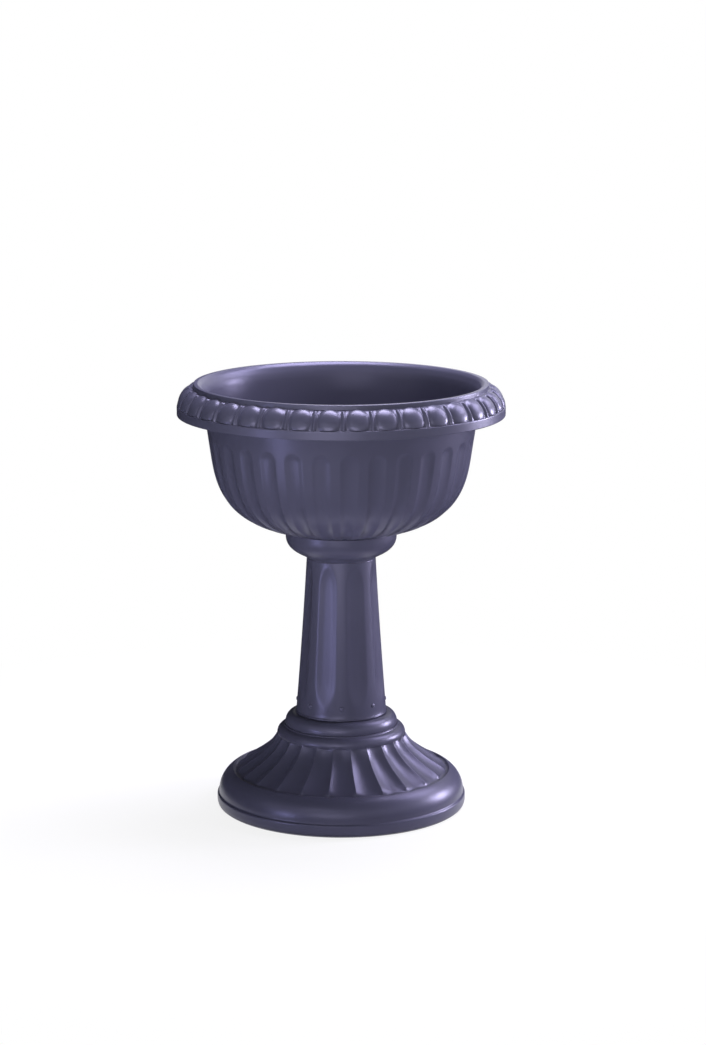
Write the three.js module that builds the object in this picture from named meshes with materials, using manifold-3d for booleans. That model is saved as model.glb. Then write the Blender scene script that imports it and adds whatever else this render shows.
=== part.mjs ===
// Pedestal urn planter in moulded plastic: a fluted bowl with an egg-and-dart rim on a fluted column
// and a round, fluted base. Millimetres, +Z up, with the origin on the floor under the middle.
// Angles around the urn are in degrees, 0 at the front (-Y) and growing towards the right (+X).
import * as THREE from "three";
import { mergeVertices } from "three/addons/utils/BufferGeometryUtils.js";
import Module from "manifold-3d";

const wasm = await Module();
wasm.setup();

// ---- Fits ----
const CLEARANCE = 0.3; // between pieces that touch or turn in each other
const WALL = 2.8; // wall of the mouldings

// ---- Base ----
const BASE_HEIGHT = 111.1; // floor to the seat of the column
const PLINTH_RADIUS = 145.7;
const PLINTH_HEIGHT = 15;
const PLINTH_STEP = 2.2; // ledge between the plinth and the roll above it
const PLINTH_EDGE = 4.5; // break of its bottom edge
const FOOT_BEAD_WIDTH = 8; // bead under the plinth that the urn stands on
const FOOT_BEAD_HEIGHT = 4;
const FOOT_ROLL_WIDTH = 26.4; // half width of the big roll on the plinth
const FOOT_ROLL_RISE = 30; // its height above the plinth
const FOOT_ROLL_LIFT = 1.5; // its widest place above the plinth
const COVE_BOTTOM_RADIUS = 122; // where the fluted cove meets the big roll
const COVE_BOTTOM_DROP = 39; // from the cove's top to its bottom
const COVE_TOP_RADIUS = 75.2;
const COVE_SAG_RADIUS = 84; // the corner that the cove's curve leans towards
const COVE_SAG_DROP = 18.5;
const COVE_FLUTES = 24;
const COVE_FLUTE_TURN = 0.6; // middle of the front flute, degrees
const COVE_FLUTE_DEPTH = 3.4;
const COVE_FLUTE_TOP_SHARE = 0.8; // of that depth, where the flutes run under the ring
const COVE_SCALLOP = 5; // how far the round flute ends reach past the ridges
const COVE_SCALLOP_FALL = 2.5; // how much lower they end there
const COVE_END_SLOPE = 2; // length of the slope that closes each flute
const RING_RADIUS = 75; // round ring above the cove
const RING_HEIGHT = 11.3;
const RING_CORNER = 9.6;
const NECK_RADIUS = 64.8; // groove between the ring and the neck roll
const NECK_STEP = 0.4;
const NECK_ROLL_RADIUS = 65.5;
const NECK_ROLL_TOP_RADIUS = 55.6;
const NECK_ROLL_RISE = 12.5; // from its widest place to the column's seat
const SOCKET_DEPTH = 16.1; // sleeve that holds the column's foot
const SOCKET_WALL = 5.6;
const SOCKET_ROOF = 4.5; // solid top of the neck roll round the sleeve

// ---- Column ----
const COLUMN_LENGTH = 184.1; // between its two shoulders
const COLUMN_FOOT_RADIUS = 52.8;
const COLUMN_WAIST_RADIUS = 45.2; // pulls the outline in between foot and head
const COLUMN_HEAD_RADIUS = 40;
const COLUMN_FLUTES = 8;
const COLUMN_FLUTE_TURN = 23; // middle of the first flute, degrees
const COLUMN_FLUTE_SHARE = 0.68; // of the pitch, the rest is land
const COLUMN_FLUTE_DEPTH = 2.6;
const COLUMN_FLUTE_FOOT = 16.9; // plain stretch under the flutes
const COLUMN_FLUTE_HEAD = 5; // plain stretch over them
const SPIGOT_RADIUS = 46.5; // foot of the column, inside the base
const SPIGOT_LENGTH = 23.1;
const HEAD_SPIGOT_RADIUS = 36.5; // head of the column, inside the collar
const HEAD_PLATE = 5;
const HEAD_BORE_RADIUS = 20; // drain passage down the column
const BOSS_RADIUS = 5.5;
const BOSS_LENGTH = 13;

// ---- Turn lock between column and base ----
const LUGS = 4;
const LUG_HALF_ANGLE = 8;
const LUG_REACH = 3.9; // how far a lug stands out of the spigot
const LUG_HEIGHT = 5;
const UNLOCK_TURN = 30; // degrees from locked to free
const LUG_SIDE_GAP = 1.2; // degrees beside a lug in its slot and at its stops

// ---- Collar ----
const COLLAR_HEIGHT = 31.7;
const COLLAR_FOOT_STEP = 0.2; // collar's lower edge outside the column's head
const COLLAR_TOP_RADIUS = 64.3;
const COLLAR_CURVE_RADIUS = 43; // the corner that its underside leans towards
const COLLAR_CURVE_RISE = 5;
const COLLAR_SHOULDER_RISE = 7.6; // the corner that its side leans towards
const COLLAR_SIDE_RISE = 25.7; // where its side is upright
const COLLAR_WEB = 3; // plate between bowl and column head
const COLLAR_WEB_BORE_RADIUS = 22;

// ---- Bowl ----
const BOWL_HEIGHT = 172.2; // underside to lip
const BOWL_BELLY_RADIUS = 151.1; // where the round belly meets the straight wall
const BOWL_BELLY_DROP = 99.9; // from there to the lowest point of its curve
const BOWL_BELLY_POWER = 3.13; // how squarely it turns from side to bottom, 2 is an ellipse
const BOWL_WALL_TOP = 76.1; // belly to lip
const BOWL_DRAFT = 0.143; // how much the wall leans out for each mm of height
const BOWL_WALL = 3.6; // thicker, because the flutes are sunk into it
const BOWL_FLOOR = 4.2;
const BOWL_FOOT_INSET = 0.4; // bowl foot inside the collar's top edge
const BOWL_FLUTES = 30;
const BOWL_FLUTE_TURN = 3.5; // middle of a front flute, degrees
const BOWL_FLUTE_SHARE = 0.65; // of the pitch, the rest is land
const BOWL_FLUTE_DEPTH = 2;
const BOWL_FLUTE_TOP = 59; // flute tops below the lip
const LIP_RADIUS = 169.5;
const LIP_WIDTH = 5.5;
const LIP_EDGE = 1.2;
const LIP_STEP = 4; // height of the small step inside the lip
const RIM_CENTRE_RADIUS = 159.6; // centre of the rim's round section
const RIM_CENTRE_DROP = 30; // that centre below the lip
const RIM_EGG_RADIUS = 29.6; // section radius over the eggs
const RIM_GROUND_DEPTH = 3; // from the eggs' crests down to the grooves
const RIM_CHANNEL_TOP = 84; // where the hollow under the rim meets the wall, degrees round the section
const RIM_LEDGE_DROP = 25.6; // ledge under the eggs below the lip
const SKIRT_RADIUS = 188.7;
const SKIRT_DROP = 36.2; // bottom of the skirt below the lip
const EGGS = 36;
const DART_TURN = 0.8; // middle of the front dart, degrees
const DART_HALF_ANGLE = 0.85;
const EGG_SIDE_GAP = 1.35; // from a dart's middle to the edge of the egg, degrees
const EGG_SHOULDER = 0.5; // where an egg's round top begins, as a share of the band
const DART_HEIGHT = 2.2;

// ---- Fasteners and drain ----
const SCREWS = 4;
const SCREW_CIRCLE_RADIUS = 28;
const SCREW_SHANK_RADIUS = 2;
const SCREW_HEAD_RADIUS = 4.6;
const SCREW_HEAD_HEIGHT = 2.8;
const SCREW_TIP = 3; // length of the pointed end
const DRAIN_RADIUS = 10;
const PLUG_HEAD_RADIUS = 14;
const PLUG_HEAD_HEIGHT = 2.6;
const PLUG_LENGTH = 8.5;
const PLUG_TAPER = 1.4;
const PLUG_TAB_WIDTH = 15;
const PLUG_TAB_HEIGHT = 10;
const PLUG_TAB_THICKNESS = 3;

// ---- Edges and facets ----
const EDGE = 1; // break of moulded edges
const FINE_EDGE = 0.5;
const ROUND = 48; // sides of the wide round stretches
const SLIM_ROUND = 28; // of the neck, column and collar
const INNER_ROUND = 32; // of the inside of base and bowl
const SMALL_ROUND = 10; // of screws, bosses and their holes
const PLUG_ROUND = 20;

// ---- Heights that follow from the sizes above ----
const COLUMN_FOOT_Z = BASE_HEIGHT + CLEARANCE;
const COLUMN_HEAD_Z = COLUMN_FOOT_Z + COLUMN_LENGTH;
const COLLAR_Z = COLUMN_HEAD_Z + CLEARANCE;
const COLLAR_TOP_Z = COLLAR_Z + COLLAR_HEIGHT;
const BOWL_Z = COLLAR_TOP_Z + CLEARANCE;
const LIP_Z = BOWL_Z + BOWL_HEIGHT;
const FLOOR_Z = BOWL_Z + BOWL_FLOOR;
const HEAD_TOP_Z = COLLAR_TOP_Z - COLLAR_WEB - CLEARANCE;
const BELLY_Z = LIP_Z - BOWL_WALL_TOP;

const PLASTIC = new THREE.MeshStandardMaterial({ color: 0x4d4a63, roughness: 0.42, metalness: 0.1 });
const STEEL = new THREE.MeshStandardMaterial({ color: 0xb4b7ba, roughness: 0.35, metalness: 1 });
const RUBBER = new THREE.MeshStandardMaterial({ color: 0x2b2b2e, roughness: 0.8, metalness: 0 });

// ---- Ways of making a shape ----
const rad = THREE.MathUtils.degToRad;
const lerp = THREE.MathUtils.lerp;
const clamp = THREE.MathUtils.clamp;
const alike = (n, make) => Array.from({ length: n }, (_, i) => make(i));
const steps = (from, to, n) => alike(n + 1, (i) => lerp(from, to, i / n));

// Angles of a ring whose pattern repeats: shares of one pitch, 0 at the middle of the feature.
function patternAngles(count, turn, shares) {
  const pitch = 360 / count;
  return alike(count, (k) => shares.map((s) => turn + (k + s) * pitch)).flat();
}

// One ring: an outline point [radius, height] for each angle, or a single point on the axis.
function ring(angles, at) {
  return {
    angles,
    points: angles.map((angle) => {
      const [r, z] = at(angle);
      return [r * Math.sin(rad(angle)), -r * Math.cos(rad(angle)), z];
    }),
  };
}
const circleOf = (sides) => (point) => ring(steps(0, 360, sides).slice(0, sides), () => point);
const wide = circleOf(ROUND);
const slim = circleOf(SLIM_ROUND);
const inner = circleOf(INNER_ROUND);
const pole = (z) => ({ angles: [0], points: [[0, 0, z]] });

// Closed skin over rings that run up the outside and down the inside. Neighbouring rings may have
// different numbers of points: the skin steps along whichever ring is behind.
function loft(rings, closed) {
  const positions = rings.flatMap((r) => r.points.flat());
  const starts = [];
  rings.reduce((sum, r) => (starts.push(sum), sum + r.points.length), 0);
  const index = [];
  const last = closed ? rings.length : rings.length - 1;
  for (let k = 0; k < last; k++) {
    const next = (k + 1) % rings.length;
    const [a, b] = [rings[k], rings[next]];
    const [na, nb] = [a.points.length, b.points.length];
    const angleOf = (r, n, i) => r.angles[i % n] + 360 * Math.floor(i / n);
    let [i, j] = [0, 0];
    while (i < na || j < nb) {
      const behind = i < na && (j >= nb || angleOf(a, na, i + 1) <= angleOf(b, nb, j + 1));
      const stepA = nb === 1 || (na > 1 && behind);
      const [ia, jb] = [starts[k] + (i % na), starts[next] + (j % nb)];
      if (stepA) {
        index.push(ia, starts[k] + ((i + 1) % na), jb);
        i++;
        if (nb === 1 && i === na) break;
      } else {
        index.push(ia, starts[next] + ((j + 1) % nb), jb);
        j++;
        if (na === 1 && j === nb) break;
      }
    }
  }
  const geometry = new THREE.BufferGeometry();
  geometry.setAttribute("position", new THREE.Float32BufferAttribute(positions, 3));
  geometry.setIndex(index);
  return geometry;
}

// A closed geometry as a solid that can be joined and cut, and back.
function solidOf(geometry) {
  const bare = geometry.clone();
  bare.deleteAttribute("normal");
  bare.deleteAttribute("uv");
  const merged = mergeVertices(bare, 1e-4);
  const vertProperties = new Float32Array(merged.attributes.position.array);
  const triVerts = new Uint32Array(merged.index.array);
  return new wasm.Manifold(new wasm.Mesh({ numProp: 3, vertProperties, triVerts }));
}

function geometryOf(solid) {
  const { vertProperties, triVerts } = solid.getMesh();
  const geometry = new THREE.BufferGeometry();
  geometry.setAttribute("position", new THREE.BufferAttribute(vertProperties, 3));
  geometry.setIndex(new THREE.BufferAttribute(triVerts, 1));
  geometry.computeVertexNormals();
  return geometry;
}

// A solid of revolution about Z from [radius, height] points, listed up the outside.
function turned(points, sides) {
  const outline = points.map(([r, z]) => new THREE.Vector2(r, z));
  return new THREE.LatheGeometry(outline, sides).rotateX(Math.PI / 2);
}

// A block that follows a circle, between two radii, two angles and two heights.
function arcBlock([inside, outside], [from, to], [low, high]) {
  const count = Math.max(2, Math.ceil((to - from) / 12));
  const angles = steps(rad(from - 90), rad(to - 90), count);
  const at = (r) => (a) => new THREE.Vector2(r * Math.cos(a), r * Math.sin(a));
  const shape = new THREE.Shape([...angles.map(at(outside)), ...angles.reverse().map(at(inside))]);
  return new THREE.ExtrudeGeometry(shape, { depth: high - low, bevelEnabled: false }).translate(0, 0, low);
}

// Middle of one of the screws, seen from above.
function screwPlace(k) {
  const angle = rad(45 + (k * 360) / SCREWS);
  return [SCREW_CIRCLE_RADIUS * Math.cos(angle), SCREW_CIRCLE_RADIUS * Math.sin(angle)];
}

// An upright round post at a screw's place.
function post(radius, low, high, k) {
  const geometry = new THREE.CylinderGeometry(radius, radius, high - low, SMALL_ROUND);
  return geometry.rotateX(Math.PI / 2).translate(...screwPlace(k), (low + high) / 2);
}

// Radius of a faceted hole that keeps the clearance round a shaft.
const boreFor = (radius, sides) => (radius + CLEARANCE) / Math.cos(Math.PI / sides);

// The cutter for a screw's hole through a plate.
function screwHole(low, high, k) {
  return post(boreFor(SCREW_SHANK_RADIUS, SMALL_ROUND), low - EDGE, high + EDGE, k);
}

// Points of a quarter of an ellipse between two angles, in degrees from level.
function ellipseArc([r0, z0], [a, b], from, to, n) {
  return steps(rad(from), rad(to), n).map((t) => [r0 + a * Math.cos(t), z0 + b * Math.sin(t)]);
}

// Angle on an ellipse at which its point has the height z, in degrees.
const ellipseAngle = (z0, b, z) => THREE.MathUtils.radToDeg(Math.asin(clamp((z - z0) / b, -1, 1)));

// Point [radius, height] at a share of a curve, moved inwards from it by a depth.
function offsetPoint(curve, share, depth) {
  const at = curve.getPoint(share);
  const along = curve.getTangent(share);
  return [at.x - along.y * depth, at.y + along.x * depth];
}

// Depth of a round-ended flute, as a share: across is -1 to 1 over its width, past is how far
// beyond the centre of its round end, in half widths.
function scoop(across, past) {
  const reach = Math.hypot(across, Math.max(past, 0));
  return reach < 1 ? Math.sqrt(1 - reach * reach) : 0;
}

// Place inside a repeating pattern: -0.5 to 0.5 of a pitch from the middle of the nearest feature.
function inPitch(angle, count, turn) {
  const share = ((angle - turn) * count) / 360;
  return share - Math.round(share);
}

// ---- Base: one moulding, hollow and open underneath ----
const FOOT_ROLL_CENTRE = [PLINTH_RADIUS - PLINTH_STEP - FOOT_ROLL_WIDTH, PLINTH_HEIGHT + FOOT_ROLL_LIFT];
const FOOT_ROLL_HALVES = [FOOT_ROLL_WIDTH, FOOT_ROLL_RISE - FOOT_ROLL_LIFT];
const COVE_BOTTOM_Z = PLINTH_HEIGHT + FOOT_ROLL_RISE + FINE_EDGE;
const COVE_TOP_Z = COVE_BOTTOM_Z + COVE_BOTTOM_DROP;
const RING_TOP_Z = COVE_TOP_Z + RING_HEIGHT;
const SLEEVE_RADIUS = boreFor(SPIGOT_RADIUS, SLIM_ROUND);
const SLEEVE_FOOT_Z = BASE_HEIGHT - SOCKET_DEPTH;

const coveCurve = new THREE.QuadraticBezierCurve(
  new THREE.Vector2(COVE_BOTTOM_RADIUS, COVE_BOTTOM_Z),
  new THREE.Vector2(COVE_SAG_RADIUS, COVE_TOP_Z - COVE_SAG_DROP),
  new THREE.Vector2(COVE_TOP_RADIUS, COVE_TOP_Z),
);

// A ring of the cove at a share of the way up. The flutes are sunk by a share of their depth, and
// their round ends reach out past the ridges by a share of the scallop.
function coveRing(share, sunk, scallop) {
  const angles = patternAngles(COVE_FLUTES, COVE_FLUTE_TURN, [-0.5, -0.27, 0, 0.27]);
  return ring(angles, (angle) => {
    const open = scoop(2 * inPitch(angle, COVE_FLUTES, COVE_FLUTE_TURN), 0);
    const [r, z] = offsetPoint(coveCurve, share, COVE_FLUTE_DEPTH * open * sunk);
    return [r + COVE_SCALLOP * open * scallop, z - COVE_SCALLOP_FALL * open * scallop];
  });
}

function makeBase() {
  const rollTopZ = COVE_BOTTOM_Z - 1.8 * COVE_SCALLOP_FALL;
  const rollTop = ellipseAngle(FOOT_ROLL_CENTRE[1], FOOT_ROLL_HALVES[1], rollTopZ);
  const rollInside = FOOT_ROLL_HALVES.map((half) => half - WALL);
  const neckRollZ = BASE_HEIGHT - NECK_ROLL_RISE;
  const neckHalves = [NECK_ROLL_RADIUS - NECK_ROLL_TOP_RADIUS, NECK_ROLL_RISE];
  const neckFoot = ellipseAngle(neckRollZ, NECK_ROLL_RISE, RING_TOP_Z + NECK_STEP + FINE_EDGE);
  const ringCorner = [RING_RADIUS - RING_CORNER, RING_TOP_Z - RING_CORNER];
  const coreRadius = NECK_ROLL_RADIUS - WALL - EDGE;
  const plinthInside = PLINTH_RADIUS - WALL;
  const beadInside = PLINTH_RADIUS - FOOT_BEAD_WIDTH;
  const outline = [
    wide([PLINTH_RADIUS - PLINTH_EDGE, 0]),
    wide([PLINTH_RADIUS, PLINTH_EDGE]),
    wide([PLINTH_RADIUS, PLINTH_HEIGHT - EDGE]),
    wide([PLINTH_RADIUS - EDGE, PLINTH_HEIGHT]),
    wide([PLINTH_RADIUS - PLINTH_STEP, PLINTH_HEIGHT + EDGE]),
    ...ellipseArc(FOOT_ROLL_CENTRE, FOOT_ROLL_HALVES, 0, rollTop, 5).map(wide),
    coveRing(0, 0, 1),
    coveRing(COVE_END_SLOPE / COVE_BOTTOM_DROP, 1, 1 - COVE_END_SLOPE / COVE_SCALLOP),
    ...[0.22, 0.5, 0.78].map((share) => coveRing(share, 1, 0)),
    coveRing(1, COVE_FLUTE_TOP_SHARE, 0),
    slim([RING_RADIUS, COVE_TOP_Z + EDGE]),
    ...ellipseArc(ringCorner, [RING_CORNER, RING_CORNER], 0, 90, 3).map(slim),
    slim([NECK_RADIUS, RING_TOP_Z]),
    slim([NECK_RADIUS, RING_TOP_Z + NECK_STEP]),
    ...ellipseArc([NECK_ROLL_TOP_RADIUS, neckRollZ], neckHalves, neckFoot, 90, 5).map(slim),
    slim([SLEEVE_RADIUS + EDGE, BASE_HEIGHT]),
    slim([SLEEVE_RADIUS, BASE_HEIGHT - EDGE]),
    slim([SLEEVE_RADIUS, SLEEVE_FOOT_Z]),
    slim([SLEEVE_RADIUS + SOCKET_WALL, SLEEVE_FOOT_Z]),
    slim([SLEEVE_RADIUS + SOCKET_WALL, BASE_HEIGHT - SOCKET_ROOF]),
    slim([lerp(SLEEVE_RADIUS + SOCKET_WALL, coreRadius, 0.5), BASE_HEIGHT - SOCKET_ROOF]),
    slim([coreRadius, neckRollZ]),
    slim([coreRadius, RING_TOP_Z - WALL]),
    slim([RING_RADIUS - WALL - COVE_FLUTE_DEPTH, ringCorner[1]]),
    ...[0.95, 0.65, 0.35, 0.08].map((share) => inner(offsetPoint(coveCurve, share, COVE_FLUTE_DEPTH + WALL))),
    ...ellipseArc(FOOT_ROLL_CENTRE, rollInside, 50, 0, 2).map(inner),
    inner([plinthInside, PLINTH_HEIGHT - WALL]),
    inner([plinthInside, FOOT_BEAD_HEIGHT + FOOT_BEAD_WIDTH - WALL]),
    inner([beadInside, FOOT_BEAD_HEIGHT]),
    inner([beadInside, 0]),
  ];
  let solid = solidOf(loft(outline, true));
  const half = LUG_HALF_ANGLE + LUG_SIDE_GAP;
  const slotOuter = SPIGOT_RADIUS + LUG_REACH + CLEARANCE;
  const stopInner = SLEEVE_RADIUS + CLEARANCE;
  const stopOuter = SLEEVE_RADIUS + SOCKET_WALL - CLEARANCE;
  for (let k = 0; k < LUGS; k++) {
    const free = (k * 360) / LUGS + UNLOCK_TURN;
    const nextLug = ((k + 1) * 360) / LUGS;
    const slotHeights = [SLEEVE_FOOT_Z - EDGE, BASE_HEIGHT + EDGE];
    const slot = arcBlock([SLEEVE_RADIUS - EDGE, slotOuter], [free - half, free + half], slotHeights);
    const stopHeights = [SLEEVE_FOOT_Z - LUG_HEIGHT, SLEEVE_FOOT_Z + EDGE];
    const stop = arcBlock([stopInner, stopOuter], [free + half, nextLug - half], stopHeights);
    solid = solid.add(solidOf(stop)).subtract(solidOf(slot));
  }
  return geometryOf(solid);
}

// ---- Column: a tapered tube with round-ended flutes, a lugged foot and a head plate ----
const columnCurve = new THREE.QuadraticBezierCurve(
  new THREE.Vector2(COLUMN_FOOT_RADIUS, COLUMN_FOOT_Z),
  new THREE.Vector2(COLUMN_WAIST_RADIUS, (COLUMN_FOOT_Z + COLUMN_HEAD_Z) / 2),
  new THREE.Vector2(COLUMN_HEAD_RADIUS, COLUMN_HEAD_Z),
);
const columnRadius = (z) => columnCurve.getPoint((z - COLUMN_FOOT_Z) / COLUMN_LENGTH).x;
const COLUMN_FLUTE_LOW_Z = COLUMN_FOOT_Z + COLUMN_FLUTE_FOOT;
const COLUMN_FLUTE_HIGH_Z = COLUMN_HEAD_Z - COLUMN_FLUTE_HEAD;

function columnRing(z) {
  const angles = patternAngles(COLUMN_FLUTES, COLUMN_FLUTE_TURN, [-0.34, -0.22, 0, 0.22, 0.34]);
  const r = columnRadius(z);
  const halfWidth = (Math.PI * r * COLUMN_FLUTE_SHARE) / COLUMN_FLUTES;
  const past = 1 + Math.max(COLUMN_FLUTE_LOW_Z - z, z - COLUMN_FLUTE_HIGH_Z) / halfWidth;
  return ring(angles, (angle) => {
    const across = (2 * inPitch(angle, COLUMN_FLUTES, COLUMN_FLUTE_TURN)) / COLUMN_FLUTE_SHARE;
    return [r - COLUMN_FLUTE_DEPTH * scoop(across, past), z];
  });
}

function makeColumn() {
  const spigotFoot = COLUMN_FOOT_Z - SPIGOT_LENGTH;
  const plateFoot = HEAD_TOP_Z - HEAD_PLATE;
  const spigotInside = SPIGOT_RADIUS - WALL;
  const headInside = HEAD_SPIGOT_RADIUS - WALL;
  const thickness = WALL + COLUMN_FLUTE_DEPTH;
  const endWidth = (Math.PI * COLUMN_HEAD_RADIUS * COLUMN_FLUTE_SHARE) / COLUMN_FLUTES;
  const endShares = [0.06, 0.35, 1.1];
  const outline = [
    slim([SPIGOT_RADIUS - EDGE, spigotFoot]),
    slim([SPIGOT_RADIUS, spigotFoot + EDGE]),
    slim([SPIGOT_RADIUS, COLUMN_FOOT_Z]),
    slim([COLUMN_FOOT_RADIUS - FINE_EDGE, COLUMN_FOOT_Z]),
    slim([columnRadius(COLUMN_FOOT_Z + FINE_EDGE), COLUMN_FOOT_Z + FINE_EDGE]),
    ...endShares.map((share) => columnRing(COLUMN_FLUTE_LOW_Z + share * endWidth)),
    columnRing((COLUMN_FLUTE_LOW_Z + COLUMN_FLUTE_HIGH_Z) / 2),
    ...endShares.reverse().map((share) => columnRing(COLUMN_FLUTE_HIGH_Z - share * endWidth)),
    slim([COLUMN_HEAD_RADIUS, COLUMN_HEAD_Z]),
    slim([HEAD_SPIGOT_RADIUS, COLUMN_HEAD_Z]),
    slim([HEAD_SPIGOT_RADIUS, HEAD_TOP_Z - EDGE]),
    slim([HEAD_SPIGOT_RADIUS - EDGE, HEAD_TOP_Z]),
    slim([HEAD_BORE_RADIUS, HEAD_TOP_Z]),
    slim([HEAD_BORE_RADIUS, plateFoot]),
    slim([headInside, plateFoot]),
    slim([headInside, COLUMN_HEAD_Z]),
    slim([COLUMN_HEAD_RADIUS - thickness, COLUMN_HEAD_Z - WALL]),
    slim([columnRadius(COLUMN_FLUTE_LOW_Z) - thickness, COLUMN_FLUTE_LOW_Z]),
    slim([spigotInside, COLUMN_FOOT_Z]),
    slim([spigotInside, spigotFoot]),
  ];
  let solid = solidOf(loft(outline, true));
  const lugTop = SLEEVE_FOOT_Z - CLEARANCE;
  for (let k = 0; k < LUGS; k++) {
    const middle = (k * 360) / LUGS;
    const across = [middle - LUG_HALF_ANGLE, middle + LUG_HALF_ANGLE];
    const depths = [SPIGOT_RADIUS - EDGE, SPIGOT_RADIUS + LUG_REACH];
    solid = solid.add(solidOf(arcBlock(depths, across, [lugTop - LUG_HEIGHT, lugTop])));
  }
  for (let k = 0; k < SCREWS; k++) {
    solid = solid.add(solidOf(post(BOSS_RADIUS, plateFoot - BOSS_LENGTH, plateFoot + EDGE, k)));
    solid = solid.subtract(solidOf(screwHole(plateFoot - BOSS_LENGTH, HEAD_TOP_Z, k)));
  }
  return geometryOf(solid);
}

// ---- Collar: a cup-shaped ring, hollow on top, over the column's head ----
function makeCollar() {
  const sleeve = boreFor(HEAD_SPIGOT_RADIUS, SLIM_ROUND);
  const webFoot = COLLAR_TOP_Z - COLLAR_WEB;
  const curve = new THREE.CubicBezierCurve(
    new THREE.Vector2(COLUMN_HEAD_RADIUS + COLLAR_FOOT_STEP, COLLAR_Z),
    new THREE.Vector2(COLLAR_CURVE_RADIUS, COLLAR_Z + COLLAR_CURVE_RISE),
    new THREE.Vector2(COLLAR_TOP_RADIUS, COLLAR_Z + COLLAR_SHOULDER_RISE),
    new THREE.Vector2(COLLAR_TOP_RADIUS, COLLAR_Z + COLLAR_SIDE_RISE),
  );
  const outline = [
    slim([sleeve, COLLAR_Z]),
    ...steps(0, 1, 5).map((share) => slim(offsetPoint(curve, share, 0))),
    slim([COLLAR_TOP_RADIUS, COLLAR_TOP_Z - FINE_EDGE]),
    slim([COLLAR_TOP_RADIUS - FINE_EDGE, COLLAR_TOP_Z]),
    slim([COLLAR_TOP_RADIUS - WALL, COLLAR_TOP_Z]),
    ...[0.75, 0.5].map((share) => slim(offsetPoint(curve, share, WALL))),
    slim([sleeve + WALL, COLLAR_Z + COLLAR_CURVE_RISE + WALL]),
    slim([sleeve + WALL, COLLAR_TOP_Z]),
    slim([COLLAR_WEB_BORE_RADIUS, COLLAR_TOP_Z]),
    slim([COLLAR_WEB_BORE_RADIUS, webFoot]),
    slim([sleeve, webFoot]),
  ];
  let solid = solidOf(loft(outline, true));
  for (let k = 0; k < SCREWS; k++) solid = solid.subtract(solidOf(screwHole(webFoot, COLLAR_TOP_Z, k)));
  return geometryOf(solid);
}

// ---- Bowl: one shell with sunk flutes and a rolled rim of eggs and darts ----
const RIM_Z = LIP_Z - RIM_CENTRE_DROP;
const RIM_GROUND_RADIUS = RIM_EGG_RADIUS - RIM_GROUND_DEPTH;
const FLUTE_TOP_Z = LIP_Z - BOWL_FLUTE_TOP;
const bowlWallRadius = (z) => BOWL_BELLY_RADIUS + (z - BELLY_Z) * BOWL_DRAFT;

// Outer outline of the bowl at a height: the round belly below, the leaning wall above.
function bowlRadius(z) {
  const drop = clamp((BELLY_Z - z) / BOWL_BELLY_DROP, 0, 1);
  const turnedIn = BOWL_BELLY_RADIUS * (1 - (1 - drop ** BOWL_BELLY_POWER) ** (1 / BOWL_BELLY_POWER));
  return bowlWallRadius(z) - turnedIn;
}

// Point [radius, height] on a belly curve with a half width and a drop, t radians round from its side.
function bellyPoint([halfWidth, drop], t) {
  const z = BELLY_Z - drop * Math.sin(t) ** (2 / BOWL_BELLY_POWER);
  return [halfWidth * Math.cos(t) ** (2 / BOWL_BELLY_POWER) + (z - BELLY_Z) * BOWL_DRAFT, z];
}

function bowlRing(z) {
  const angles = patternAngles(BOWL_FLUTES, BOWL_FLUTE_TURN, [-0.325, -0.165, 0, 0.165, 0.325]);
  const r = bowlRadius(z);
  const halfWidth = (Math.PI * r * BOWL_FLUTE_SHARE) / BOWL_FLUTES;
  const depth = BOWL_FLUTE_DEPTH * Math.sqrt(r / BOWL_BELLY_RADIUS);
  return ring(angles, (angle) => {
    const across = (2 * inPitch(angle, BOWL_FLUTES, BOWL_FLUTE_TURN)) / BOWL_FLUTE_SHARE;
    return [r - depth * scoop(across, 1 + (z - FLUTE_TOP_Z) / halfWidth), z];
  });
}

// Height of the eggs and darts over the ground of the band, at a share of the way up it.
function rimRelief(angle, up) {
  const pitch = 360 / EGGS;
  const fromDart = Math.abs(inPitch(angle, EGGS, DART_TURN)) * pitch;
  const across = (pitch / 2 - fromDart) / (pitch / 2 - EGG_SIDE_GAP);
  const shoulder = clamp((up - EGG_SHOULDER) / (1 - EGG_SHOULDER), 0, 1);
  const reach = Math.min(Math.hypot(across, shoulder), 1);
  const egg = (1 - reach ** 2.6) ** 0.55;
  const dart = Math.max(1 - fromDart / DART_HALF_ANGLE, 0) * (1 - up ** 4);
  return egg * RIM_GROUND_DEPTH + dart * DART_HEIGHT;
}

// A ring of the egg band at a share of the way up, at an angle round the rim's section.
function rimRing(up, tilt) {
  const angles = patternAngles(EGGS, DART_TURN, [0, 0.11, 0.28, 0.5, 0.72, 0.89]);
  return ring(angles, (angle) => {
    const reach = RIM_GROUND_RADIUS + rimRelief(angle, up);
    return [RIM_CENTRE_RADIUS + reach * Math.cos(rad(tilt)), RIM_Z + reach * Math.sin(rad(tilt))];
  });
}

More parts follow.
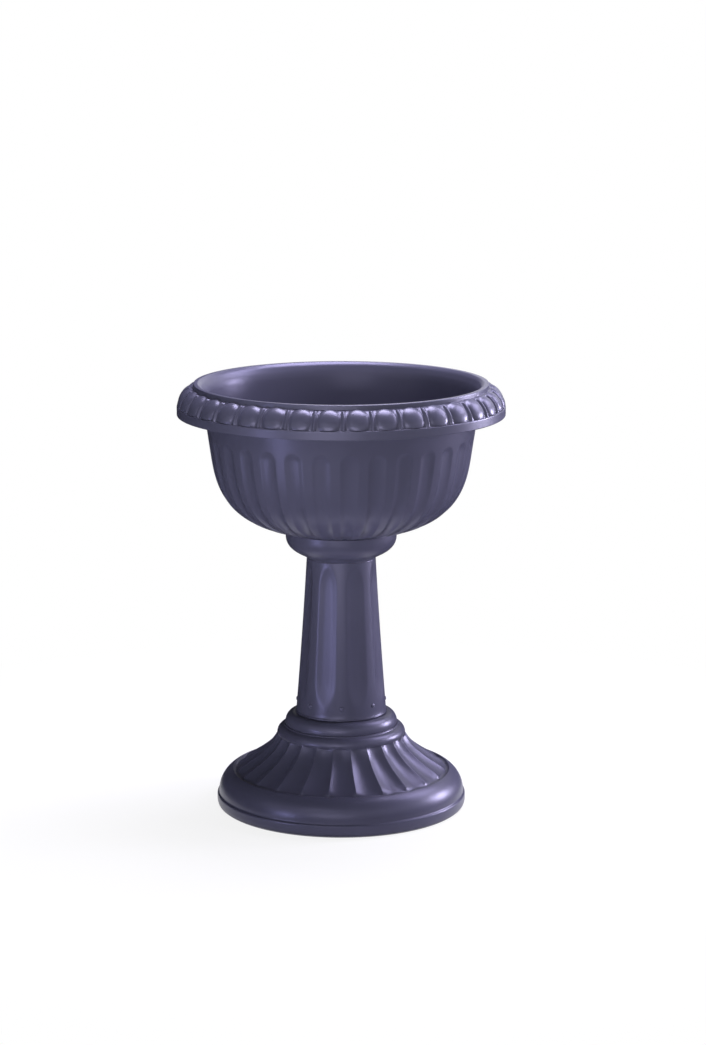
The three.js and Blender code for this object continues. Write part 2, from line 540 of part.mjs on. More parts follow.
function makeBowl() {
  const footRadius = COLLAR_TOP_RADIUS - BOWL_FOOT_INSET;
  const footShare = (footRadius + EDGE + BOWL_DRAFT * BOWL_BELLY_DROP) / BOWL_BELLY_RADIUS;
  const bellyLow = Math.acos(footShare ** (BOWL_BELLY_POWER / 2));
  const outerBelly = [BOWL_BELLY_RADIUS, BOWL_BELLY_DROP];
  const bellyHeights = steps(bellyLow, 0, 5).map((t) => bellyPoint(outerBelly, t)[1]);
  const endWidth = (Math.PI * bowlWallRadius(FLUTE_TOP_Z) * BOWL_FLUTE_SHARE) / BOWL_FLUTES;
  const bandFoot = ellipseAngle(RIM_Z, RIM_GROUND_RADIUS, LIP_Z - RIM_LEDGE_DROP);
  const bandTop = THREE.MathUtils.radToDeg(Math.acos((LIP_RADIUS - RIM_CENTRE_RADIUS) / RIM_GROUND_RADIUS));
  const channel = RIM_GROUND_RADIUS - WALL;
  const skirtZ = LIP_Z - SKIRT_DROP;
  const ledgeZ = LIP_Z - RIM_LEDGE_DROP;
  const innerWall = (z) => bowlWallRadius(z) - BOWL_WALL;
  const innerBelly = [BOWL_BELLY_RADIUS - BOWL_WALL, BOWL_BELLY_DROP - BOWL_WALL];
  const floorAngle = Math.asin(((BELLY_Z - FLOOR_Z) / innerBelly[1]) ** (BOWL_BELLY_POWER / 2));
  const lipInside = LIP_RADIUS - LIP_WIDTH;
  const outline = [
    pole(BOWL_Z),
    slim([footRadius - FINE_EDGE, BOWL_Z]),
    slim([footRadius, BOWL_Z + FINE_EDGE]),
    ...bellyHeights.map(bowlRing),
    ...[1, 0.45, 0.1].map((share) => bowlRing(FLUTE_TOP_Z - share * endWidth)),
    wide([bowlWallRadius(FLUTE_TOP_Z + EDGE), FLUTE_TOP_Z + EDGE]),
    inner([bowlWallRadius(RIM_Z), RIM_Z]),
    ...ellipseArc([RIM_CENTRE_RADIUS, RIM_Z], [channel, channel], RIM_CHANNEL_TOP, 10, 3).map(inner),
    inner([SKIRT_RADIUS - WALL, RIM_Z]),
    wide([SKIRT_RADIUS - WALL, skirtZ]),
    wide([SKIRT_RADIUS - FINE_EDGE, skirtZ]),
    wide([SKIRT_RADIUS, skirtZ + FINE_EDGE]),
    wide([SKIRT_RADIUS, ledgeZ - EDGE]),
    wide([SKIRT_RADIUS - EDGE, ledgeZ]),
    ...[0, 0.3, 0.6, 0.84, 1].map((up) => rimRing(up, lerp(bandFoot, bandTop, up))),
    wide([LIP_RADIUS, LIP_Z - LIP_EDGE]),
    wide([LIP_RADIUS - LIP_EDGE, LIP_Z]),
    wide([lipInside, LIP_Z]),
    wide([lerp(innerWall(LIP_Z), lipInside, 0.3), LIP_Z - LIP_EDGE]),
    inner([innerWall(LIP_Z - LIP_STEP), LIP_Z - LIP_STEP]),
    ...steps(0, floorAngle, 5).map((t) => inner(bellyPoint(innerBelly, t))),
    pole(FLOOR_Z),
  ];
  let solid = solidOf(loft(outline, false));
  const drain = new THREE.CylinderGeometry(DRAIN_RADIUS, DRAIN_RADIUS, BOWL_FLOOR + 2 * EDGE, PLUG_ROUND);
  drain.rotateX(Math.PI / 2).translate(0, 0, BOWL_Z + BOWL_FLOOR / 2);
  solid = solid.subtract(solidOf(drain));
  for (let k = 0; k < SCREWS; k++) solid = solid.subtract(solidOf(screwHole(BOWL_Z, FLOOR_Z, k)));
  return geometryOf(solid);
}

// ---- Bowl screws: pan head, straight shank and short point ----
function makeScrew() {
  const length = BOWL_FLOOR + COLLAR_WEB + HEAD_PLATE + BOSS_LENGTH;
  const r = SCREW_HEAD_RADIUS;
  const h = SCREW_HEAD_HEIGHT;
  return turned(
    [
      [0, -length],
      [SCREW_SHANK_RADIUS * 0.3, -length],
      [SCREW_SHANK_RADIUS, SCREW_TIP - length],
      [SCREW_SHANK_RADIUS, 0],
      [r, 0],
      [r, h * 0.45],
      [r * 0.8, h * 0.9],
      [r * 0.4, h],
      [0, h],
    ],
    SMALL_ROUND,
  );
}

// ---- Drain plug: tapered stopper with a pull tab ----
function makePlug() {
  const hole = DRAIN_RADIUS * Math.cos(Math.PI / PLUG_ROUND) - CLEARANCE;
  const head = PLUG_HEAD_HEIGHT;
  const stopper = turned(
    [
      [0, -PLUG_LENGTH],
      [hole - PLUG_TAPER, -PLUG_LENGTH],
      [hole, EDGE - BOWL_FLOOR],
      [hole, 0],
      [PLUG_HEAD_RADIUS, 0],
      [PLUG_HEAD_RADIUS, head * 0.5],
      [PLUG_HEAD_RADIUS - EDGE, head],
      [0, head],
    ],
    PLUG_ROUND,
  );
  const half = PLUG_TAB_WIDTH / 2;
  const shape = new THREE.Shape();
  shape.moveTo(-half, -EDGE);
  shape.lineTo(half, -EDGE);
  shape.lineTo(half, PLUG_TAB_HEIGHT - half * 0.6);
  shape.quadraticCurveTo(half, PLUG_TAB_HEIGHT, 0, PLUG_TAB_HEIGHT);
  shape.quadraticCurveTo(-half, PLUG_TAB_HEIGHT, -half, PLUG_TAB_HEIGHT - half * 0.6);
  shape.closePath();
  const settings = { depth: PLUG_TAB_THICKNESS, bevelEnabled: false, curveSegments: 4 };
  const tab = new THREE.ExtrudeGeometry(shape, settings);
  tab.translate(0, 0, -PLUG_TAB_THICKNESS / 2).rotateX(Math.PI / 2).translate(0, 0, head);
  return geometryOf(solidOf(stopper).add(solidOf(tab)));
}

// ---- Assembly ----
const urn = new THREE.Group();

function place(name, geometry, material, position = [0, 0, 0]) {
  const mesh = new THREE.Mesh(geometry, material);
  mesh.name = name;
  mesh.position.set(...position);
  urn.add(mesh);
}

place("base", makeBase(), PLASTIC);
place("column", makeColumn(), PLASTIC);
place("collar", makeCollar(), PLASTIC);
place("bowl", makeBowl(), PLASTIC);
const screw = makeScrew();
for (let k = 0; k < SCREWS; k++) {
  place("bowl_screw_" + (k + 1), screw, STEEL, [...screwPlace(k), FLOOR_Z + CLEARANCE]);
}
place("drain_plug", makePlug(), RUBBER, [0, 0, FLOOR_Z + CLEARANCE]);

export default urn;
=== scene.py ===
import math

import bmesh
import bpy
import numpy as np
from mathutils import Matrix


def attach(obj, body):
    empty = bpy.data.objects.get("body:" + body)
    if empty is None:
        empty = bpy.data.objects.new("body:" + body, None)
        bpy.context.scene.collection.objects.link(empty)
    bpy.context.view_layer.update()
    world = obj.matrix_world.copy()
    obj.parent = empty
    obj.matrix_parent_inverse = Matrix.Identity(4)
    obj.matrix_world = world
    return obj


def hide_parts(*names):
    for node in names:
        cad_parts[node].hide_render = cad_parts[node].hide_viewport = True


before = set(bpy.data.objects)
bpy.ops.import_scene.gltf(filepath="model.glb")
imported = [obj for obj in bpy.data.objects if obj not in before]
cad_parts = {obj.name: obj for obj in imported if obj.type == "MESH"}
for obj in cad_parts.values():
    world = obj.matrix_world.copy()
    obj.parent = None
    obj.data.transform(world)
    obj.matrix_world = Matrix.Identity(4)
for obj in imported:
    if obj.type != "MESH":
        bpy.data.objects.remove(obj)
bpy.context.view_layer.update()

# ---- The base ----
# One hollow moulding of satin polypropylene, open underneath: a plinth with a big roll on it, a
# cove pressed into 24 flutes with scalloped feet, a ring and a neck roll. The column's foot drops
# into a sleeve in the neck, where a turn locks its lugs under the sleeve's edge.
MM = 0.001  # sizes are in mm from the axis and the floor, angles in degrees from the front to the right
BASE_TOP = 111.1
SLEEVE_FOOT = 95.0
COVE_FLUTES, COVE_TURN = 24, 0.6  # how many, and where the middle of the first one stands
COVE_DEPTH = 3.4
COVE_WALL = 6.2
SLOT_END, NEXT_SLOT, RIB_END = 39.2, 110.8, 80.8  # of the turn lock, degrees round from each quarter


def rounded(corners, steps=4, hold=0.5):
    """Outline through [radius, height, rounding] corners. Each corner is turned over a short arc, and
    the outline is held straight for a little beside it, so that flat parts are shaded flat."""
    points = [corners[0][:2]]
    for before, corner, after in zip(corners, corners[1:], corners[2:]):
        at = np.array(corner[:2], float)
        if corner[2] == 0:
            points.append(list(at))
            continue
        arms = []
        for end in (before, after):
            arm = np.array(end[:2], float) - at
            arms.append(arm / np.hypot(*arm))
        points.append(list(at + arms[0] * (corner[2] + hold)))
        for s in np.linspace(0, 1, steps + 1):
            points.append(list(at + corner[2] * ((1 - s) ** 2 * arms[0] + s**2 * arms[1])))
        points.append(list(at + arms[1] * (corner[2] + hold)))
    return points + [corners[-1][:2]]


def oval(centre, halves, start, stop, steps):
    """Points of an oval between two angles, in degrees from level."""
    t = np.radians(np.linspace(start, stop, steps + 1))
    return [[centre[0] + halves[0] * math.cos(a), centre[1] + halves[1] * math.sin(a)] for a in t]


def bezier(controls, share):
    """Point and direction of travel at a share of a Bezier curve."""
    points = [np.array(c, float) for c in controls]
    while len(points) > 2:
        points = [a + (b - a) * share for a, b in zip(points, points[1:])]
    along = points[1] - points[0]
    return points[0] + along * share, along / np.hypot(*along)


def columns(count, turn, places):
    """Angles round a repeating pattern, from places in half a pitch: 0 its middle, 0.5 its edge."""
    inside = sorted({s * p for p in places for s in (1, -1) if p < 0.5})
    edge = [0.5] if 0.5 in places else []
    return np.array([turn + (k + p) * 360 / count for k in range(count) for p in inside + edge])


def even(count):
    """Angles spaced evenly round the axis."""
    return np.arange(count) * 360 / count


def new_object(name, data):
    """An object at the origin, in the scene."""
    thing = bpy.data.objects.new(name, data)
    bpy.context.scene.collection.objects.link(thing)
    return thing


def skin(name, groups):
    """Closed skin over rings listed up the outside and down the inside. Each group is a set of angles
    and its rows. A row is radius and height, then where a pattern needs them a pull that sinks into the
    wall, a pull that rises from it, and the share of the way up a band."""
    row_length = 7
    rings = [(angles, list(row) + [0.0] * (row_length - len(row)))
             for angles, rows in groups for row in rows]
    starts = np.cumsum([0] + [len(angles) for angles, _ in rings])
    points, sink, rise, angle, along = [], [], [], [], []
    for angles, (r, z, sink_r, sink_z, rise_r, rise_z, share) in rings:
        s, c = np.sin(np.radians(angles)), np.cos(np.radians(angles))
        one = np.ones_like(s)
        points.append(np.stack([r * s, -r * c, z * one], 1) * MM)
        sink.append(np.stack([sink_r * s, -sink_r * c, sink_z * one], 1))
        rise.append(np.stack([rise_r * s, -rise_r * c, rise_z * one], 1))
        angle.append(angles)
        along.append(share * one)
    faces = []
    for k, (a, _) in enumerate(rings):
        b = rings[(k + 1) % len(rings)][0]
        sa, sb = starts[k], starts[(k + 1) % len(rings)]
        na, nb = len(a), len(b)
        if na == nb and na > 1:
            faces += [(sa + i, sa + (i + 1) % na, sb + (i + 1) % na, sb + i) for i in range(na)]
            continue
        # Rings of unlike counts, or a pole: triangles, each to whichever next angle comes first.
        i = j = 0
        while (i < na and na > 1) or (j < nb and nb > 1):
            next_a = a[(i + 1) % na] + 360 * ((i + 1) // na) if i < na and na > 1 else math.inf
            next_b = b[(j + 1) % nb] + 360 * ((j + 1) // nb) if j < nb and nb > 1 else math.inf
            if next_a <= next_b:
                faces.append((sa + i % na, sa + (i + 1) % na, sb + j % nb))
                i += 1
            else:
                faces.append((sa + i % na, sb + (j + 1) % nb, sb + j % nb))
                j += 1
    mesh = bpy.data.meshes.new(name)
    mesh.from_pydata(np.concatenate(points).tolist(), [], faces)
    for label, kind, values in (
        ("sink", "FLOAT_VECTOR", np.concatenate(sink)),
        ("rise", "FLOAT_VECTOR", np.concatenate(rise)),
        ("angle", "FLOAT", np.concatenate(angle)),
        ("along", "FLOAT", np.concatenate(along)),
    ):
        data = mesh.attributes.new(label, kind, "POINT").data
        data.foreach_set("vector" if kind == "FLOAT_VECTOR" else "value", values.astype(np.float32).ravel())
    return new_object(name, mesh)


def arc_block(piece, radii, angles, heights):
    """Adds to a piece a block that follows a circle, between two radii, two angles and two heights."""
    steps = 12
    (near, far), (low, high) = radii, heights
    corners = [(near, low), (far, low), (far, high), (near, high)]
    shape = bmesh.new()
    shape.from_mesh(piece.data)
    rows = []
    for a in np.radians(np.linspace(*angles, steps + 1)):
        rows.append([
            shape.verts.new((r * math.sin(a) * MM, -r * math.cos(a) * MM, z * MM)) for r, z in corners])
    for one, two in zip(rows, rows[1:]):
        for k in range(4):
            shape.faces.new((one[k], two[k], two[(k + 1) % 4], one[(k + 1) % 4]))
    shape.faces.new(rows[0])
    shape.faces.new(rows[-1][::-1])
    shape.to_mesh(piece.data)
    shape.free()


def add(tree, kind, links=None, **settings):
    """Adds a node with its settings, and links or sets its inputs by name or number."""
    node = tree.nodes.new(kind)
    for key, value in settings.items():
        setattr(node, key, value)
    for key, value in (links or {}).items():
        if isinstance(value, bpy.types.NodeSocket):
            tree.links.new(value, node.inputs[key])
        else:
            node.inputs[key].default_value = value
    return node


def drawn(node, points, reach=1.0):
    """Draws a float curve through points, given along a reach that the curve shows as 0 to 1."""
    points = [(x / reach, y) for x, y in points]
    curve = node.mapping.curves[0]
    for point, (x, y) in zip(curve.points, (points[0], points[-1])):
        point.location = (x, y)
    for x, y in points[1:-1]:
        curve.points.new(x, y)
    node.mapping.update()
    return node.outputs[0]


def pattern_tree(name, inputs):
    """An empty tree that takes a mesh and the pattern's named sizes."""
    tree = bpy.data.node_groups.new(name, "GeometryNodeTree")
    tree.interface.new_socket("Geometry", in_out="INPUT", socket_type="NodeSocketGeometry")
    for label, kind, value in inputs:
        socket = tree.interface.new_socket(label, in_out="INPUT", socket_type=kind)
        if value is not None:
            socket.default_value = value
    tree.interface.new_socket("Geometry", in_out="OUTPUT", socket_type="NodeSocketGeometry")
    return tree, add(tree, "NodeGroupInput").outputs


def end_tree(tree, geometry, material):
    """Ends a pattern: its instances made real and its material set."""
    geometry = add(tree, "GeometryNodeRealizeInstances", {"Geometry": geometry}).outputs[0]
    geometry = add(tree, "GeometryNodeSetMaterial", {"Geometry": geometry, "Material": material}).outputs[0]
    add(tree, "NodeGroupOutput", {"Geometry": geometry})


FLOAT, MATERIAL = "NodeSocketFloat", "NodeSocketMaterial"
MATH, VECTOR_MATH = "ShaderNodeMath", "ShaderNodeVectorMath"
ATTRIBUTE = "GeometryNodeInputNamedAttribute"
REACH = 1.12  # how far past a flute's edge its drawn section goes, in half widths

fluting, given = pattern_tree(
    "Press flutes",
    [("Flutes", FLOAT, float(COVE_FLUTES)), ("Turn", FLOAT, 0.0), ("Width share", FLOAT, 1.0),
     ("Depth", FLOAT, 0.002), ("Low end", FLOAT, -1.0), ("High end", FLOAT, 1.0), ("Arc share", FLOAT, 0.0),
     ("End stretch", FLOAT, 1.0), ("Plastic", MATERIAL, None)],
)
# How far round a point lies from the nearest flute's middle, in half widths of the flute.
turned = add(fluting, ATTRIBUTE, {"Name": "angle"}, data_type="FLOAT").outputs[0]
turned = add(fluting, MATH, {0: turned, 1: given["Turn"]}, operation="SUBTRACT").outputs[0]
turned = add(fluting, MATH, {0: turned, 1: 360.0}, operation="DIVIDE").outputs[0]
turned = add(fluting, MATH, {0: turned, 1: given["Flutes"]}, operation="MULTIPLY").outputs[0]
in_pitch = add(fluting, MATH, {0: turned, 1: 0.5, 2: -0.5}, operation="WRAP").outputs[0]
in_pitch = add(fluting, MATH, {0: in_pitch}, operation="ABSOLUTE").outputs[0]
in_pitch = add(fluting, MATH, {0: in_pitch, 1: 2.0}, operation="MULTIPLY").outputs[0]
across = add(fluting, MATH, {0: in_pitch, 1: given["Width share"]}, operation="DIVIDE").outputs[0]
# How far above or below the flute's straight part it lies, in the same half widths, which depend on
# the radius. Together they say how far it is from the flute's middle line.
place = add(fluting, "GeometryNodeInputPosition").outputs[0]
height = add(fluting, "ShaderNodeSeparateXYZ", {0: place}).outputs["Z"]
flat = add(fluting, VECTOR_MATH, {0: place, 1: (1, 1, 0)}, operation="MULTIPLY").outputs[0]
radius = add(fluting, VECTOR_MATH, {0: flat}, operation="LENGTH").outputs["Value"]
half = add(fluting, MATH, {0: radius, 1: math.pi}, operation="MULTIPLY").outputs[0]
half = add(fluting, MATH, {0: half, 1: given["Width share"]}, operation="MULTIPLY").outputs[0]
half = add(fluting, MATH, {0: half, 1: given["Flutes"]}, operation="DIVIDE").outputs[0]
half = add(fluting, MATH, {0: half, 1: given["End stretch"]}, operation="MULTIPLY").outputs[0]
over = add(fluting, MATH, {0: height, 1: given["High end"]}, operation="SUBTRACT").outputs[0]
under = add(fluting, MATH, {0: given["Low end"], 1: height}, operation="SUBTRACT").outputs[0]
past = add(fluting, MATH, {0: over, 1: under}, operation="MAXIMUM").outputs[0]
past = add(fluting, MATH, {0: past, 1: half}, operation="DIVIDE").outputs[0]
past = add(fluting, MATH, {0: past, 1: 1.0}, operation="ADD").outputs[0]
past = add(fluting, MATH, {0: past, 1: 0.0}, operation="MAXIMUM").outputs[0]
reach = add(fluting, "ShaderNodeCombineXYZ", {"X": across, "Y": past}).outputs[0]
reach = add(fluting, VECTOR_MATH, {0: reach}, operation="LENGTH").outputs["Value"]
# The flute's section, a plain arc or a groove with soft edges, sunk into the wall.
bow = add(fluting, MATH, {0: reach, 1: reach}, operation="MULTIPLY").outputs[0]
bow = add(fluting, MATH, {0: 1.0, 1: bow}, operation="SUBTRACT", use_clamp=True).outputs[0]
reach = add(fluting, MATH, {0: reach, 1: REACH}, operation="DIVIDE", use_clamp=True).outputs[0]
soft = drawn(
    add(fluting, "ShaderNodeFloatCurve", {"Value": reach}),
    [(0, 1), (0.16, 0.985), (0.32, 0.93), (0.47, 0.82), (0.61, 0.65), (0.73, 0.47), (0.83, 0.3),
     (0.91, 0.165), (0.98, 0.07), (1.05, 0.015), (REACH, 0)], REACH,
)
open_share = add(fluting, "ShaderNodeMix", {"Factor": given["Arc share"], "A": soft, "B": bow})
open_share = open_share.outputs["Result"]
sink = add(fluting, ATTRIBUTE, {"Name": "sink"}, data_type="FLOAT_VECTOR").outputs[0]
moved = add(fluting, VECTOR_MATH, {0: sink, "Scale": given["Depth"]}, operation="SCALE").outputs[0]
moved = add(fluting, VECTOR_MATH, {0: moved, "Scale": open_share}, operation="SCALE").outputs[0]
shaped = add(fluting, "GeometryNodeSetPosition", {"Geometry": given["Geometry"], "Offset": moved})
end_tree(fluting, shaped.outputs[0], given["Plastic"])


def smoothed(mesh):
    """Smooth shading, with edges that turn by more than 50 degrees kept sharp."""
    mesh.shade_smooth()
    mesh.set_sharp_from_angle(angle=math.radians(50))


def patterned(piece, *trees):
    """Puts a piece through pattern trees with their sizes, and keeps the result as a plain, smooth mesh."""
    for tree, sizes in trees:
        modifier = piece.modifiers.new(tree.name, "NODES")
        modifier.node_group = tree
        for item in tree.interface.items_tree:
            if item.in_out == "INPUT" and item.name in sizes:
                modifier[item.identifier] = sizes[item.name]
    graph = bpy.context.evaluated_depsgraph_get()
    mesh = bpy.data.meshes.new_from_object(piece.evaluated_get(graph))
    piece.modifiers.clear()
    piece.data = mesh
    smoothed(mesh)


def colour(code):
    """Linear colour of an sRGB hex value."""
    parts = [int(code[k : k + 2], 16) / 255 for k in (1, 3, 5)]
    return tuple(p / 12.92 if p <= 0.04045 else ((p + 0.055) / 1.055) ** 2.4 for p in parts) + (1.0,)


def emptied(holder):
    """The node tree of a material or a world, emptied."""
    holder.use_nodes = True
    holder.node_tree.nodes.clear()
    return holder.node_tree


MIX_A, MIX_B, MIX_RESULT = 6, 7, 2  # a Mix node's colour sockets, by number

# Injection-moulded polypropylene with a fine spark-eroded grain: satin, dark slate with a violet cast.
# Its sheen is broad and lavender, and its colour clouds faintly over about 70 mm. The grain is drawn
# about 1 mm coarse, because the real one is too fine to show.
plastic = bpy.data.materials.new("moulded_polypropylene")
tree = emptied(plastic)
where = add(tree, "ShaderNodeTexCoord").outputs["Object"]
mottle = add(tree, "ShaderNodeTexNoise", {"Vector": where, "Scale": 14.0, "Detail": 3.0}).outputs[0]
body = add(tree, "ShaderNodeMix", {"Factor": mottle, MIX_A: colour("#40404f"), MIX_B: colour("#474757")},
           data_type="RGBA").outputs[MIX_RESULT]
grain = add(tree, "ShaderNodeTexNoise", {"Vector": where, "Scale": 900.0, "Detail": 2.0, "Roughness": 0.6})
relief = add(tree, "ShaderNodeBump", {"Height": grain.outputs[0], "Strength": 0.12, "Distance": 0.0002})
gloss = add(tree, "ShaderNodeMapRange", {"Value": mottle, "To Min": 0.31, "To Max": 0.37}).outputs[0]
shader = add(tree, "ShaderNodeBsdfPrincipled", {
    "Base Color": body, "Roughness": gloss, "Normal": relief.outputs[0], "Metallic": 0.0, "IOR": 1.49,
    "Specular Tint": colour("#cdc8f4"),
}).outputs[0]
add(tree, "ShaderNodeOutputMaterial", {"Surface": shader})

roll_centre, roll_halves = (117.1, 16.5), (26.4, 28.5)
cove = [(122.0, 45.5), (84.0, 65.5), (75.2, 84.5)]
# Up the outside: the plinth, the soft groove above it, and the roll.
outside = rounded([[138.0, 0, 0], [141.4, 0, 0.9], [144.4, 2.2, 1.2], [145.7, 6.0, 2.4], [145.7, 14.5, 1.7],
                   [143.5, 16.1, 1.2], [143.44, 18.4, 0]])[:-1]
outside += oval(roll_centre, roll_halves, 4, 67.3, 27)
# Foot of the cove, ring by ring from the roll's lip: the ridges' end, with a small pit before it, and
# the flutes' floor, which runs out into the lip.
for ridge, floor_at in (
    ((126.8, 42.75), (126.9, 42.75)), ((126.3, 42.1), (126.5, 42.45)), ((125.7, 41.2), (126.0, 42.0)),
    ((124.8, 40.6), (125.2, 41.6)), ((123.6, 40.5), (123.8, 41.5)), ((122.7, 40.9), (122.6, 41.6)),
    ((122.1, 41.9), (121.5, 41.9)), ((121.6, 43.2), (120.4, 42.4)), ((120.9, 44.5), (119.4, 43.0)),
    ((119.9, 45.7), (118.2, 43.6)), ((118.6, 46.9), (116.9, 44.3)),
):
    outside.append([*ridge, *((f - r) / COVE_DEPTH for r, f in zip(ridge, floor_at))])
# Up the cove, where the flutes get a fifth shallower towards the ring.
for s in [0.08, 0.11, 0.15] + list(np.linspace(0.2, 1, 16)):
    spot, way = bezier(cove, s)
    press = 1 - 0.2 * s**4
    outside.append([spot[0], spot[1], -way[1] * press, way[0] * press])
# The ring, a small step, the neck roll, and then down the sleeve and the inside of the neck.
above = oval((65.4, 86.2), (9.6, 9.6), 0, 76, 13)
above += rounded([[67.4, 95.6, 0], [67.0, 95.9, 0.3], [66.6, 97.0, 0.5], [65.4, 97.2, 0.5],
                  [64.9, 96.4, 0.2], [64.7, 96.8, 0]], 3, 0.05)[1:]
above += oval((55.6, 98.6), (9.9, 12.5), -4, 90, 26)
above += rounded([[54.6, BASE_TOP, 0], [50.7, BASE_TOP, 0.4], [50.7, SLEEVE_FOOT, 0.3],
                  [52.6, SLEEVE_FOOT, 0.3], [52.6, 106.6, 1.0], [57.5, 106.6, 1.5], [61.6, 99.5, 2.0],
                  [61.6, 92.6, 1.5], [67.4, 88.4, 1.5], [70.2, 80.0, 0]], 3)
# Down the inside: under the cove, under the roll, and the plinth's stepped foot.
inside = []
for s in np.linspace(0.95, 0.08, 12):
    spot, way = bezier(cove, s)
    inside.append([spot[0] - way[1] * COVE_WALL, spot[1] + way[0] * COVE_WALL])
inside += oval(roll_centre, (23.6, 25.7), 50, 0, 8)
inside += rounded([[142.9, 12.2, 0], [142.9, 8.8, 0.6], [137.9, 3.8, 0.4], [137.9, 0.5, 0]], 2)
cove_columns = columns(COVE_FLUTES, COVE_TURN, [0, 0.1, 0.2, 0.29, 0.36, 0.415, 0.455, 0.4825, 0.5])
base = skin("base_moulding", [(cove_columns, outside), (even(192), above), (even(96), inside)])
patterned(base, (fluting, {
    "Flutes": float(COVE_FLUTES), "Turn": COVE_TURN, "Width share": 0.985, "Depth": COVE_DEPTH * MM,
    "Arc share": 1.0, "Plastic": plastic}))
for k in range(4):
    # The sleeve's lining, which leaves a slot for each lug, and under it a rib beside each slot, where
    # a lug stops both locked and free.
    quarter = 90 * k
    arc_block(base, (46.9, 51.2), (quarter + SLOT_END, quarter + NEXT_SLOT), (SLEEVE_FOOT, BASE_TOP))
    arc_block(base, (47.2, 52.3), (quarter + SLOT_END, quarter + RIB_END), (SLEEVE_FOOT - 5, SLEEVE_FOOT + 1))
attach(base, "pedestal_base")
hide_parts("base")

# ---- The column ----
# A tapered tube of the same polypropylene with eight long flutes, each closed by a round end, and a
# small nub at the foot of each land. Its foot has four lugs for the turn lock in the base, and its
# head a plate with four screw bosses under the bowl.
COLUMN_FOOT, COLUMN_LENGTH = 111.4, 184.1
COLUMN_FLUTES, COLUMN_TURN = 8, 23.0
FLUTE_LOW, FLUTE_HIGH = 128.3, 290.5
LUG_HALF = 8
SCREW_CIRCLE = 28
NUB_HEIGHT = 126.5
NUB_HALF_WIDTH, NUB_PROUD, NUB_UP, NUB_DOWN, NUB_SUNK = 3.2, 1.3, 2.2, 2.8, 0.2
column_curve = [(52.8, COLUMN_FOOT), (45.2, 203.45), (40.0, 295.5)]


def column_radius(z):
    """Radius of the column's lands at a height."""
    return bezier(column_curve, (z - COLUMN_FOOT) / COLUMN_LENGTH)[0][0]


# The foot in the sleeve, a small bead on the neck roll, and the shaft, its rings close together at the
# flutes' ends. Then the narrower head inside the collar, its plate, and down the inside.
outside = rounded([[45.5, 88.3, 0], [46.5, 88.3, 0.6], [46.5, COLUMN_FOOT, 0], [53.6, COLUMN_FOOT, 0.5],
                   [53.6, 113.0, 0.7], [52.7, 114.2, 0.4], [52.6, 115.0, 0]], 3)[:-1]
heights = list(np.linspace(115.5, 127.5, 4)) + list(np.arange(FLUTE_LOW, 162, 1.4))
heights += list(np.linspace(164, 258, 16)) + list(np.arange(260, 291.5, 1.4)) + [292.6, 293.8]
outside += [[column_radius(z), z, -1] for z in heights]
above = rounded([[40.1, 294.2, 0], [40.0, 295.5, 0.4], [36.5, 295.5, 0.3], [36.5, 324.2, 0.8],
                 [20.0, 324.2, 0.4], [20.0, 319.2, 0.4], [33.7, 319.2, 1.0], [33.7, 295.5, 1.0],
                 [34.6, 292.7, 0.5], [45.8, FLUTE_LOW, 2.0], [43.7, COLUMN_FOOT, 2.0], [43.7, 88.3, 0.5],
                 [45.2, 88.3, 0]], 3)
land = [0, 0.07, 0.136, 0.197, 0.245, 0.282, 0.309, 0.33, 0.347, 0.366, 0.4, 0.45, 0.5]
column = skin("column_tube", [(columns(COLUMN_FLUTES, COLUMN_TURN, land), outside), (even(96), above)])
patterned(column, (fluting, {
    "Flutes": float(COLUMN_FLUTES), "Turn": COLUMN_TURN, "Width share": 0.68, "Depth": 2.4 * MM,
    "Low end": FLUTE_LOW * MM, "High end": FLUTE_HIGH * MM, "End stretch": 2.4, "Plastic": plastic}))
for k in range(4):
    arc_block(column, (45.5, 50.4), (90 * k - LUG_HALF, 90 * k + LUG_HALF), (89.7, 94.7))
details = bmesh.new()
details.from_mesh(column.data)
boss = [(2.1, 306.2), (5.2, 306.2), (5.5, 306.5), (5.5, 319.6), (2.1, 319.6)]
for k in range(4):
    # Each screw boss is a tube that hangs under the head's plate.
    a = math.radians(90 * k + 45)
    x, y = SCREW_CIRCLE * math.sin(a), SCREW_CIRCLE * math.cos(a)
    rows = [[details.verts.new(((x + r * math.cos(b)) * MM, (y + r * math.sin(b)) * MM, z * MM))
             for r, z in boss] for b in np.radians(even(24))]
    for one, two in zip(rows, rows[1:] + rows[:1]):
        for j in range(len(boss)):
            after = (j + 1) % len(boss)
            details.faces.new((one[j], one[after], two[after], two[j]))
for k in range(COLUMN_FLUTES):
    # Each nub is a small drop on the foot of a land, drawn out downwards.
    a = math.radians(45 * k + 0.5)
    ball = bmesh.ops.create_uvsphere(details, u_segments=14, v_segments=8, radius=1.0)["verts"]
    for vert in ball:
        x, y = vert.co.x * NUB_HALF_WIDTH, vert.co.y * NUB_PROUD
        z = NUB_HEIGHT + vert.co.z * (NUB_UP if vert.co.z > 0 else NUB_DOWN)
        r = column_radius(z) - NUB_SUNK - y
        x, y = r * math.sin(a) + x * math.cos(a), x * math.sin(a) - r * math.cos(a)
        vert.co = (x * MM, y * MM, z * MM)
details.to_mesh(column.data)
details.free()
smoothed(column.data)
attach(column, "urn")
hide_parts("column")

# ---- The collar ----
# A cup-shaped ring of the same polypropylene, hollow on top, that hides the joint between column and
# bowl. It sleeves over the column's head and is clamped under the bowl by the bowl's screws.
COLLAR_WALL = 2.8
cup = [(40.2, 295.8), (43.0, 300.8), (64.3, 303.4), (64.3, 321.5)]
